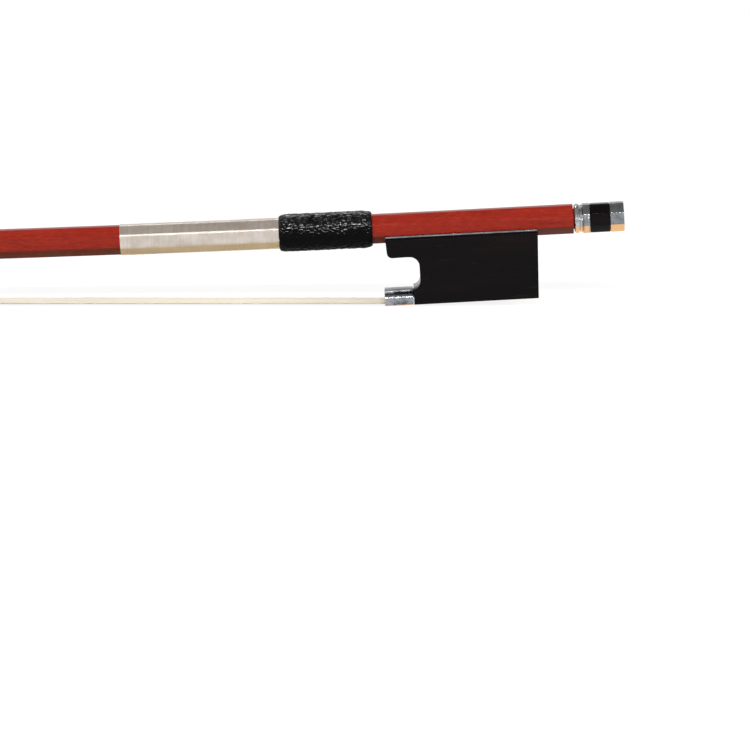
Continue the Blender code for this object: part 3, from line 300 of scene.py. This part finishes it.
def ebony():
    """Near-black polished wood with faint brown figure and short open pores."""
    wood = Finish("polished_ebony", specular_ior_level=0.07)
    figure = wood.grain(0.0048, 3.0, (8, 1, 1), 0.55, turn=HANDLE_TURN)
    fine = wood.grain(0.00045, 2.0, (20, 1, 1), 0.5, turn=HANDLE_TURN)
    pores = fine.between(0.67, 0.75)
    base = wood.mix(figure.between(0.50, 0.78) * 0.5, srgb(13, 10, 12), srgb(36, 23, 20))
    wood.set("Base Color", wood.mix(pores * 0.4, base, srgb(52, 47, 48)))
    wood.set("Roughness", 0.08 + fine * 0.08)
    wood.set("Normal", wood.bump(fine, 0.00002, 0.30))
    return wood.material


def silver(name, bright, dull, roughness, brushed=(1, 1, 1), clouded=0.75):
    """Handled silver: tarnish in soft clouds, fine polishing marks in one direction, and a painted
    tan reflection on faces that look down.
    """
    metal = Finish(name, metallic=1.0)
    cloud = metal.grain(0.0016, 3.0, (1.6, 1, 1), 0.65, turn=HANDLE_TURN)
    marks = metal.grain(0.00032, 2.0, brushed, 0.6, turn=HANDLE_TURN)
    worn = cloud.between(0.36, 0.68) * clouded + marks.between(0.4, 0.7) * (1 - clouded)
    handled = metal.mix(worn, bright, dull)
    # Faces that look down get the painted tan reflection instead of their own silver colour.
    metal.set("Base Color", metal.mix(metal.facing_down(), handled, PAINTED_TAN_REFLECTION))
    metal.set("Roughness", roughness + worn * 0.16)
    metal.set("Normal", metal.bump(marks * 0.7 + cloud * 0.3, 0.000014, 0.4))
    return metal.material


def plain_metal(name, colour, roughness):
    """Turned steel or brass, with marks that run round it."""
    metal = Finish(name, metallic=1.0)
    marks = metal.grain(0.0003, 2.0, (5, 1, 1), turn=HANDLE_TURN)
    dull = tuple(c * 0.7 for c in colour)
    metal.set("Base Color", metal.mix(marks.between(0.4, 0.7) * 0.4, colour, dull))
    metal.set("Roughness", roughness + marks * 0.15)
    return metal.material


def wound_silver():
    """Silver wire, duller in patches, with a painted tan reflection on the faces that look down."""
    metal = Finish("wound_silver_wire", metallic=1.0)
    cloud = metal.grain(0.004, 3.0, (1.2, 1, 1), 0.6)
    turns = metal.grain(0.0005, 1.0, (0.5, 16, 16))
    base = metal.mix(cloud.between(0.35, 0.72), srgb(240, 233, 226), srgb(222, 212, 202))
    grey = metal.mix(turns.between(0.50, 0.68) * 0.22, base, srgb(172, 162, 150))
    # Faces that look down are painted tan: a painted reflection.
    metal.set("Base Color", metal.mix(metal.facing_down() * 0.8, grey, srgb(238, 214, 168)))
    metal.set("Roughness", 0.28 + cloud * 0.2)
    return metal.material


def ivory():
    """Cream face plate with faint lengthways grain and a soft polish."""
    plate = Finish("ivory_face", coat_weight=0.25, coat_roughness=0.12)
    grain = plate.grain(0.0009, 2.0, (16, 1, 1))
    cloud = plate.grain(0.0055, 2.0)
    base = plate.mix(grain.between(0.35, 0.75) * 0.5, srgb(252, 248, 228), srgb(240, 232, 206))
    plate.set("Base Color", plate.mix(cloud.between(0.4, 0.8) * 0.3, base, srgb(232, 222, 190)))
    plate.set("Roughness", 0.26 + grain * 0.12)
    plate.set("Normal", plate.bump(grain, 0.00001, 0.3))
    return plate.material


def pearl():
    """Shell with diagonal bands that drift from white to pale blue, pink and grey-brown."""
    shell = Finish("pearl_shell", coat_weight=0.8, coat_roughness=0.04)
    lean = (0, HANDLE_TURN[1], math.radians(-58))
    sweep = shell.grain(0.0058, 2.0, (3, 1, 1), 0.45, turn=lean)
    band = shell.grain(0.0019, 2.0, (3, 1, 1), 0.5, shift=(0.3, 0.1, 0), turn=lean)
    silk = shell.grain(0.0003, 2.0, (6, 1, 1), turn=lean)
    colour = shell.ramp(
        sweep * 0.64 + band * 0.36,
        (0.32, srgb(138, 122, 108)),
        (0.42, srgb(178, 172, 156)),
        (0.48, srgb(190, 226, 224)),
        (0.53, srgb(242, 247, 247)),
        (0.60, srgb(230, 206, 216)),
        (0.70, srgb(160, 202, 214)),
    )
    shell.set("Base Color", shell.mix(silk.between(0.45, 0.75) * 0.3, colour, srgb(240, 236, 232)))
    shell.set("Roughness", 0.12 + silk * 0.12)
    shell.set("Normal", shell.bump(silk * 0.5 + band * 0.5, 0.00002, 0.25))
    return shell.material


def pale_eye():
    """The tan shell disc in the button's end, with a soft swirl."""
    disc = Finish("pale_eye", coat_weight=0.6, coat_roughness=0.06)
    swirl = disc.grain(0.0024, 3.0, (1, 1, 2), 0.55)
    disc.set("Base Color", disc.ramp(
        swirl, (0.35, srgb(214, 176, 124)), (0.52, srgb(234, 200, 146)), (0.68, srgb(246, 224, 184))
    ))
    disc.set("Roughness", 0.18 + swirl * 0.1)
    return disc.material


def horse_hair():
    """Cream hair: each strand a slightly different tone, with a soft silky gloss."""
    strands = Finish("horse_hair_cream")
    tone = strands.grain(0.00022, 1.0, (250, 1, 1))
    stretch = strands.grain(0.011, 2.0, (3, 1, 1))
    base = strands.ramp(
        tone, (0.30, srgb(206, 197, 178)), (0.50, srgb(230, 223, 206)), (0.70, srgb(242, 237, 224))
    )
    yellower = stretch.between(0.4, 0.8) * 0.2
    strands.set("Base Color", strands.mix(yellower, base, srgb(224, 216, 192)))
    strands.set("Roughness", 0.36 + tone * 0.15)
    return strands.material


def black_leather():
    """Pebbled black leather with fine pores, rubbed glossy on top of the pebbles."""
    skin = Finish("black_leather", specular_ior_level=0.05, coat_roughness=0.08, coat_ior=1.75)
    pore = skin.grain(0.00022, 2.0)
    patch = skin.grain(0.0024, 2.0)
    crown = skin.node("Attribute", {"attribute_name": "crown"}, {}, "Fac")
    base = skin.mix(patch.between(0.4, 0.8) * 0.5, srgb(5, 5, 6), srgb(12, 11, 12))
    skin.set("Base Color", skin.mix(pore.between(0.55, 0.8) * 0.3, base, srgb(22, 21, 22)))
    skin.set("Roughness", 0.22 + pore * 0.14 + patch * 0.08)
    rubbed = skin.facing("Z").between(0.24, 0.36) * patch.between(0.28, 0.46)
    skin.set("Coat Weight", crown * rubbed)
    skin.set("Normal", skin.bump(pore, 0.00004, 0.2))
    return skin.material


def maple():
    """Plain pale wood of the plugs and the wedge."""
    wood = Finish("plug_maple")
    rings = wood.grain(0.0011, 2.0, (10, 1, 1))
    wood.set(
        "Base Color", wood.mix(rings.between(0.4, 0.65), srgb(214, 178, 128), srgb(184, 142, 92))
    )
    wood.set("Roughness", 0.5 + rings * 0.15)
    return wood.material


# Shapes
def ride_as(piece, body, slot, *replaced):
    """Hangs a new piece on a body, in the place of the nodes that it stands for."""
    if replaced:
        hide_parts(*replaced)
    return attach(piece, body)


def new_object(name, work, finish, smooth_angle=None):
    mesh = bpy.data.meshes.new(name)
    work.to_mesh(mesh)
    work.free()
    mesh.materials.append(finish)
    if smooth_angle:
        mesh.shade_smooth()
        mesh.set_sharp_from_angle(angle=math.radians(smooth_angle))
    made = bpy.data.objects.new(name, mesh)
    bpy.context.scene.collection.objects.link(made)
    return made


def eased_copy(node, name, finish, edge, fill):
    """A node's own shape with its arrises rounded, as hand finishing leaves them.

    fill is how far it grows, but not sideways, to close the fitting gap to its neighbours.
    """
    work = bmesh.new()
    work.from_mesh(NODES[node].data)
    bmesh.ops.remove_doubles(work, verts=work.verts, dist=SAME_CORNER)
    work.normal_update()
    for corner in work.verts:
        corner.co += Vector((corner.normal.x, 0, corner.normal.z)) * fill
    bmesh.ops.dissolve_limit(
        work, angle_limit=math.radians(FLAT_ANGLE), verts=work.verts, edges=work.edges
    )
    arrises = [
        e for e in work.edges
        if e.is_manifold and e.calc_face_angle(0) > math.radians(ARRIS_ANGLE)
    ]
    bmesh.ops.bevel(
        work, geom=arrises, offset=edge, offset_type="OFFSET", segments=ARRIS_SEGMENTS,
        profile=0.5, affect="EDGES", clamp_overlap=True,
    )
    bmesh.ops.triangulate(work, faces=[f for f in work.faces if len(f.verts) > 4])
    return new_object(name, work, finish, SMOOTH_ANGLE)


def octagon_point(turn, width, round_share=0.0):
    """(y, z) at a share of a turn round an octagon this wide, with its corners eased."""
    angle = math.tau * turn
    facet = (angle + math.pi / 8) % (math.pi / 4) - math.pi / 8
    radius = width / 2 * (round_share + (1 - round_share) / math.cos(facet))
    return radius * math.cos(angle), radius * math.sin(angle)


def stick_middle(x):
    """Middle of the stick and its height at a place along it, found on the node itself."""
    top, bottom = (
        STICK_SKIN.ray_cast(Vector((x, 0, side)), Vector((0, 0, -side)))[0] for side in (1, -1)
    )
    return (top + bottom) / 2, (top - bottom).length


def stick_place(x):
    """Middle, width across the flats, direction and upward direction of the stick's octagon."""
    middle, height = stick_middle(x)
    line = (stick_middle(x + STICK_STEP)[0] - stick_middle(x - STICK_STEP)[0]).normalized()
    return middle, height * line.x, line, Vector((-line.z, 0, line.x))


def skin_of(rings, work):
    """Joins rings of equally many points into a tube with open ends."""
    for first, second in zip(rings, rings[1:]):
        count = len(first)
        for k in range(count):
            j = (k + 1) % count
            work.faces.new((first[k], first[j], second[j], second[k]))


def winding():
    """Fine silver wire wound close round the octagon, one unbroken helix."""
    low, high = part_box("silver_winding")
    radius = WIRE_DIAMETER / 2
    start = low.x + END_LEAN + radius
    length = high.x - start
    facets = 8 * round(length / WIRE_DIAMETER)
    work = bmesh.new()
    rings = []
    for facet, place in itertools.product(range(facets), FACET_PLACES):
        along = length * (facet + place + 0.5) / facets
        middle, seat, line, up = stick_place(start + along)
        raised = WIRE_STEP_HEIGHT if 0 <= along - WIRE_STEP_AT < WIRE_DIAMETER else 0
        y, z = octagon_point((facet + place) / 8, seat + WIRE_DIAMETER + 2 * raised)
        out = (ACROSS * y + up * z).normalized()
        centre = middle + ACROSS * y + up * z
        ring = []
        for k in range(WIRE_SIDES):
            around = math.tau * (k + 0.5) / WIRE_SIDES
            ring.append(work.verts.new(
                centre + out * radius * math.cos(around) + line * radius * math.sin(around)
            ))
        rings.append(ring)
    skin_of(rings, work)
    work.faces.new(rings[0])
    work.faces.new(rings[-1])
    bmesh.ops.recalc_face_normals(work, faces=work.faces)
    made = new_object("silver_lapping", work, wound_silver(), 60)
    return ride_as(made, "stick", "winding_silver", "silver_winding")


def pebble(spot):
    """Height of the leather's grain at a place, and its share of a pebble's crown.

    Each pebble has a rounded rim, and a crown that leans its own way. The share is 1 on the
    crown and falls to 0 between pebbles.
    """
    sample = Vector((spot.x * PEBBLE_LENGTHWAYS, spot.y, spot.z)) / PEBBLE_SIZE
    sample += noise.noise_vector(sample * 1.7) * PEBBLE_WANDER
    (near, second), centres = (found[:2] for found in noise.voronoi(sample))
    inner = min(1.0, (second - near) * PEBBLE_RIM)
    lean = noise.noise_vector(centres[0] * 7.3) * PEBBLE_LEAN
    return inner * (2 - inner) - 1 + (sample - centres[0]).dot(lean), inner


def leather():
    """A pebbled leather sleeve with rolled ends, its pebbles raised in the mesh."""
    noise.seed_set(PEBBLE_SEED)
    low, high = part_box("thumb_leather")
    start, full = low.x - END_LEAN, high.y - low.y
    length = high.x - END_LEAN - start
    work = bmesh.new()
    crown = work.verts.layers.float.new("crown")
    outer, ends = [], []
    for i in range(LEATHER_RINGS + 1):
        along = length * i / LEATHER_RINGS
        middle, seat, _, up = stick_place(start + along)
        from_end = min(along, length - along) / LEATHER_ROLL
        roll = 1 - math.sqrt(max(0.0, 1 - (1 - min(from_end, 1)) ** 2))
        width = full - (full - seat - 2 * LEATHER_END) * roll
        ring = []
        for k in range(LEATHER_SIDES):
            y, z = octagon_point(k / LEATHER_SIDES, width, LEATHER_ROUNDNESS)
            out = ACROSS * y + up * z
            spot = middle + out
            height, polish = pebble(spot)
            ring.append(work.verts.new(spot + out.normalized() * (PEBBLE_DEPTH * height)))
            ring[-1][crown] = polish
        outer.append(ring)
        if i in (0, LEATHER_RINGS):
            inside = [
                octagon_point(k / LEATHER_SIDES, seat + 2 * LEATHER_GAP)
                for k in range(LEATHER_SIDES)
            ]
            ends.append([work.verts.new(middle + ACROSS * y + up * z) for y, z in inside])
    skin_of([ends[0]] + outer + [ends[1], ends[0]], work)
    bmesh.ops.recalc_face_normals(work, faces=work.faces)
    made = new_object("leather_grip", work, black_leather(), 70)
    return ride_as(made, "stick", "leather", "thumb_leather")


def head_plate(along, height):
    """A place from the hair's opening in the head's face plate, along the plate and up from it."""
    line = (PLATE_REAR - PLATE_CORNER).normalized()
    return PLATE_CORNER + line * (OPENING_AT + along) + Vector((-line.z, 0, line.x)) * height


def frog_place(along, height):
    """A place from the frog's front, along the handle and up from the handle's axis."""
    return HANDLE_END + ALONG * (along - FROG_TO_END - FROG_LENGTH) + UPRIGHT * height


def smooth_through(stations, steps):
    """Points on a Catmull-Rom curve through stations, which are tuples of equally many numbers."""
    found = []
    last = len(stations) - 1
    for i in range(last):
        corners = [stations[min(max(i + k, 0), last)] for k in (-1, 0, 1, 2)]
        for step in range(steps):
            t = step / steps
            found.append(tuple(
                0.5 * (2 * q + (r - p) * t + (2 * p - 5 * q + 4 * r - s) * t * t
                       + (3 * q - p - 3 * r + s) * t * t * t)
                for p, q, r, s in zip(*corners)
            ))
    found.append(tuple(stations[last]))
    return found


def hair_route():
    """Middles and widths of the hank, from inside the head to inside the frog."""
    head = [
        (*head_plate(0.0006, 0.0047), 0.0048),
        (*head_plate(0.0006, 0.0020), 0.0048),
        (*head_plate(0.0017, -0.00045), 0.0052),
        (*head_plate(0.0044, -0.00075), 0.0059),
        (PLATE_REAR.x - 0.0018, 0, 0.0006, 0.0077),
        (*HAIR_FROM, HAIR_WIDTH_AT_HEAD),
    ]
    wider = HAIR_WIDTH_AT_FROG - HAIR_WIDTH_AT_HEAD
    span = [
        (*HAIR_FROM.lerp(HAIR_TO, i / HAIR_SPANS), HAIR_WIDTH_AT_HEAD + wider * i / HAIR_SPANS)
        for i in range(1, HAIR_SPANS)
    ]
    frog = [
        (*HAIR_TO, HAIR_WIDTH_AT_FROG),
        (*frog_place(0.0083, -0.0207), 0.0066),
        (*frog_place(0.0189, -0.0207), 0.0050),
        (*frog_place(0.0215, -0.0202), 0.0048),
        (*frog_place(0.0223, -0.0188), 0.0048),
        (*frog_place(0.0223, -0.0170), 0.0048),
    ]
    points = smooth_through(head, 4) + span + frog[:3] + smooth_through(frog[2:], 3)[1:]
    return [(Vector(point[:3]), point[3]) for point in points]


def hair():
    """The hank of hair: strands side by side in thin layers, gathered at both ends."""
    route = hair_route()
    rng = random.Random(5)
    work = bmesh.new()
    lengths = [0.0]
    for (a, _), (b, _) in zip(route, route[1:]):
        lengths.append(lengths[-1] + (b - a).length)
    total = lengths[-1]
    hair_left = HAIR_TO.x - HAIR_THINS_FROM
    for row in range(STRAND_ROWS):
        for column in range(STRANDS_A_ROW):
            level = (row + 0.5) / STRAND_ROWS - 0.5 + rng.uniform(-0.10, 0.10)
            offset = (column + 0.5 + rng.uniform(-0.35, 0.35)) / STRANDS_A_ROW - 0.5
            drift, phase = rng.uniform(0, STRAND_DRIFT), rng.uniform(0, math.tau)
            radius = STRAND_RADIUS * rng.uniform(0.85, 1.1)
            rings = []
            for i, (middle, width) in enumerate(route):
                before, after = route[max(i - 1, 0)][0], route[min(i + 1, len(route) - 1)][0]
                line = (after - before).normalized()
                up = Vector((-line.z, 0, line.x))
                wander = drift * math.sin(phase + lengths[i] / total * STRAND_WAVES)
                centre = middle + ACROSS * ((offset + wander) * (width - 2 * radius))
                thinner = HAIR_THINNING * min(max((middle.x - HAIR_THINS_FROM) / hair_left, 0), 1)
                centre += up * (level * (HAIR_THICKNESS - thinner - 2 * radius) - thinner / 2)
                ring = []
                for k in range(STRAND_SIDES):
                    angle = math.tau * k / STRAND_SIDES
                    rim = up * math.cos(angle) + ACROSS * math.sin(angle)
                    ring.append(work.verts.new(centre + rim * radius))
                rings.append(ring)
            skin_of(rings, work)
            work.faces.new(rings[0])
            work.faces.new(rings[-1])
    bmesh.ops.recalc_face_normals(work, faces=work.faces)
    made = new_object("bow_hair", work, horse_hair(), 80)
    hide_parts("hair_ribbon")
    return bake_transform(made)


# Putting the bow together
def paint(finish, *nodes):
    """Gives CAD nodes that are shown as they are their finish."""
    for node in nodes:
        NODES[node].data.materials.clear()
        NODES[node].data.materials.append(finish)


def rounded(finish, body, slot, edge, fill=0.0, **copies):
    """Shows softened copies of nodes: copies gives each new piece's name and its node."""
    for name, node in copies.items():
        ride_as(eased_copy(node, name, finish, edge, fill=fill), body, slot, node)


def bow():
    polished_ebony = ebony()
    bright_silver = silver(
        "bright_silver", (0.76, 0.78, 0.79), (0.56, 0.58, 0.60), 0.18, (1, 9, 1), clouded=0.25
    )
    button_silver = silver(
        "button_silver", (0.28, 0.295, 0.31), (0.14, 0.15, 0.165), 0.20, (4, 1, 1)
    )
    collar_silver = silver("collar_silver", (0.54, 0.55, 0.56), (0.20, 0.21, 0.22), 0.08, (4, 1, 1))
    worn_silver = silver("worn_silver", (0.36, 0.38, 0.41), (0.06, 0.065, 0.075), 0.20, (4, 1, 1))
    steel = plain_metal("screw_steel", (0.50, 0.50, 0.52), 0.30)
    brass = plain_metal("eyelet_brass", (0.66, 0.46, 0.17), 0.28)
    shell = pearl()
    plug_wood = maple()
    rounded(pernambuco(), "stick", "pernambuco", 0.00028, varnished_stick="stick")
    rounded(ivory(), "stick", "tip_ivory", 0.00012, face_plate="tip_plate")
    rounded(polished_ebony, "stick", "ebony", 0.00006, FITTING_GAP, ebony_liner="tip_liner")
    rounded(polished_ebony, "frog", "ebony", 0.00022, ebony_frog="frog_body")
    rounded(worn_silver, "frog", "silver", 0.00016, silver_ferrule="ferrule")
    rounded(button_silver, "frog", "silver", 0.00008, silver_underslide="underslide")
    rounded(bright_silver, "frog", "silver", 0.00012, silver_heel="heel_plate")
    rounded(shell, "frog", "pearl", 0.00006, shell_slide="pearl_slide")
    rounded(
        button_silver, "button", "silver", 0.00014,
        button_front_band="button_front_ring", button_rear_cup="button_rear_ring",
    )
    rounded(polished_ebony, "button", "ebony", 0.00014, button_ebony_band="button_ebony")
    paint(collar_silver, "button_collar")
    paint(polished_ebony, "button_end_ring", "slide_backing")
    paint(pale_eye(), "button_eye")
    paint(steel, "adjuster_screw", "underslide_screw_front", "underslide_screw_rear")
    paint(brass, "eyelet")
    paint(plug_wood, "tip_plug", "frog_plug", "spread_wedge")
    paint(horse_hair(), "tip_hair_knot", "frog_hair_knot")
    winding()
    leather()
    hair()


# Floor, light and camera
def seen_directly(finish):
    """1 for the rays that see the background: from the camera, in reflections and through glass."""
    paths = ("Is Camera Ray", "Is Glossy Ray", "Is Transmission Ray")
    rays = [finish.node("LightPath", {}, {}, path) for path in paths]
    return (rays[0] + rays[1] + rays[2]).clamped()


def floor():
    """A floor that keeps the bow's shadow, and grows pure white away from it."""
    work = bmesh.new()
    bmesh.ops.create_grid(work, x_segments=1, y_segments=1, size=FLOOR_HALF_WIDTH)
    paper = Finish("white_paper")
    tree = paper.tree
    tree.nodes.remove(paper.shader)
    lit = paper.node("BsdfDiffuse", {}, {"Color": FLOOR_WHITE})
    where = paper.node("TexCoord", {}, {}, "Object")
    away = paper.node("VectorMath", {"operation": "LENGTH"}, {0: where}, "Value")
    strength = FLOOR_GLOW + (1 - FLOOR_GLOW) * away.between(*FLOOR_WHITER)
    glow = paper.node("Emission", {}, {"Color": (1, 1, 1), "Strength": strength})
    bright = paper.node("AddShader", {}, {0: lit, 1: glow})
    mixed = paper.node("MixShader", {}, {0: seen_directly(paper), 1: lit, 2: bright})
    tree.links.new(mixed.socket, tree.nodes["Material Output"].inputs["Surface"])
    new_object("paper_floor", work, paper.material)


class Sky(Finish):
    """The world: white round the horizon, grey overhead, dimmer as a light than as a background."""

    def __init__(self):
        world = bpy.data.worlds.new("studio")
        world.use_nodes = True
        bpy.context.scene.world = world
        self.tree = world.node_tree
        background = self.tree.nodes["Background"]
        where = self.node("TexCoord", {}, {}, "Generated")
        height = self.node("SeparateXYZ", {}, {"Vector": where}, "Z")
        overhead = height.between(*SKY_GREYER)
        self.feed(background.inputs["Color"], self.mix(overhead, (1, 1, 1), SKY_OVERHEAD))
        self.feed(background.inputs["Strength"], SKY_LIGHT + (1 - SKY_LIGHT) * seen_directly(self))


def lamp(name, place, aim, width, depth, power):
    """A soft panel of light that faces its aim."""
    data = bpy.data.lights.new(name, "AREA")
    data.shape = "RECTANGLE"
    data.size = width
    data.size_y = depth
    data.energy = power
    made = bpy.data.objects.new(name, data)
    made.location = place
    made.rotation_euler = (Vector(aim) - Vector(place)).to_track_quat("-Z", "Y").to_euler()
    bpy.context.scene.collection.objects.link(made)
    return made


def camera():
    """The photograph's view of the frog, with the stick's end at its own pixel."""
    half_frame = PHOTO_WIDTH / PIXELS_PER_METRE / 2
    distance = half_frame * LENS_MM / (SENSOR_MM / 2)
    across = (STICK_END_PIXEL[0] - PHOTO_WIDTH / 2) / PIXELS_PER_METRE
    above = (PHOTO_WIDTH / 2 - STICK_END_PIXEL[1]) / PIXELS_PER_METRE
    pitch = ELEVATION + math.atan2(above, distance)
    right = Vector((1, 0, 0))
    forward = Vector((0, math.cos(pitch), -math.sin(pitch)))
    up = right.cross(forward)
    data = bpy.data.cameras.new("camera")
    data.lens = LENS_MM
    data.sensor_width = SENSOR_MM
    data.clip_start = 0.05
    data.clip_end = 60
    made = bpy.data.objects.new("camera", data)
    turn = Matrix((right, up, -forward)).transposed().to_4x4()
    place = HANDLE_END - right * across - up * above - forward * distance
    made.matrix_world = Matrix.Translation(place) @ turn
    bpy.context.scene.collection.objects.link(made)
    bpy.context.scene.camera = made


camera()
bow()
floor()
Sky()
lamp("front_strip", (0.05, -1.26, 0.98), (0.05, 0, 0), 1.9, 0.035, 20)
lamp("right_strip", (1.6, -0.5, 0.40), (0, 0, 0.02), 0.10, 0.8, 6)
lamp("left_strip", (-2.94, -3.75, 1.25), (0, 0, 0.02), 0.10, 2.4, 60)
lamp("back_panel", (-0.1, 1.0, 1.2), (0, 0, 0), 1.8, 0.3, 9)

view = bpy.context.scene.view_settings
view.view_transform = "Standard"
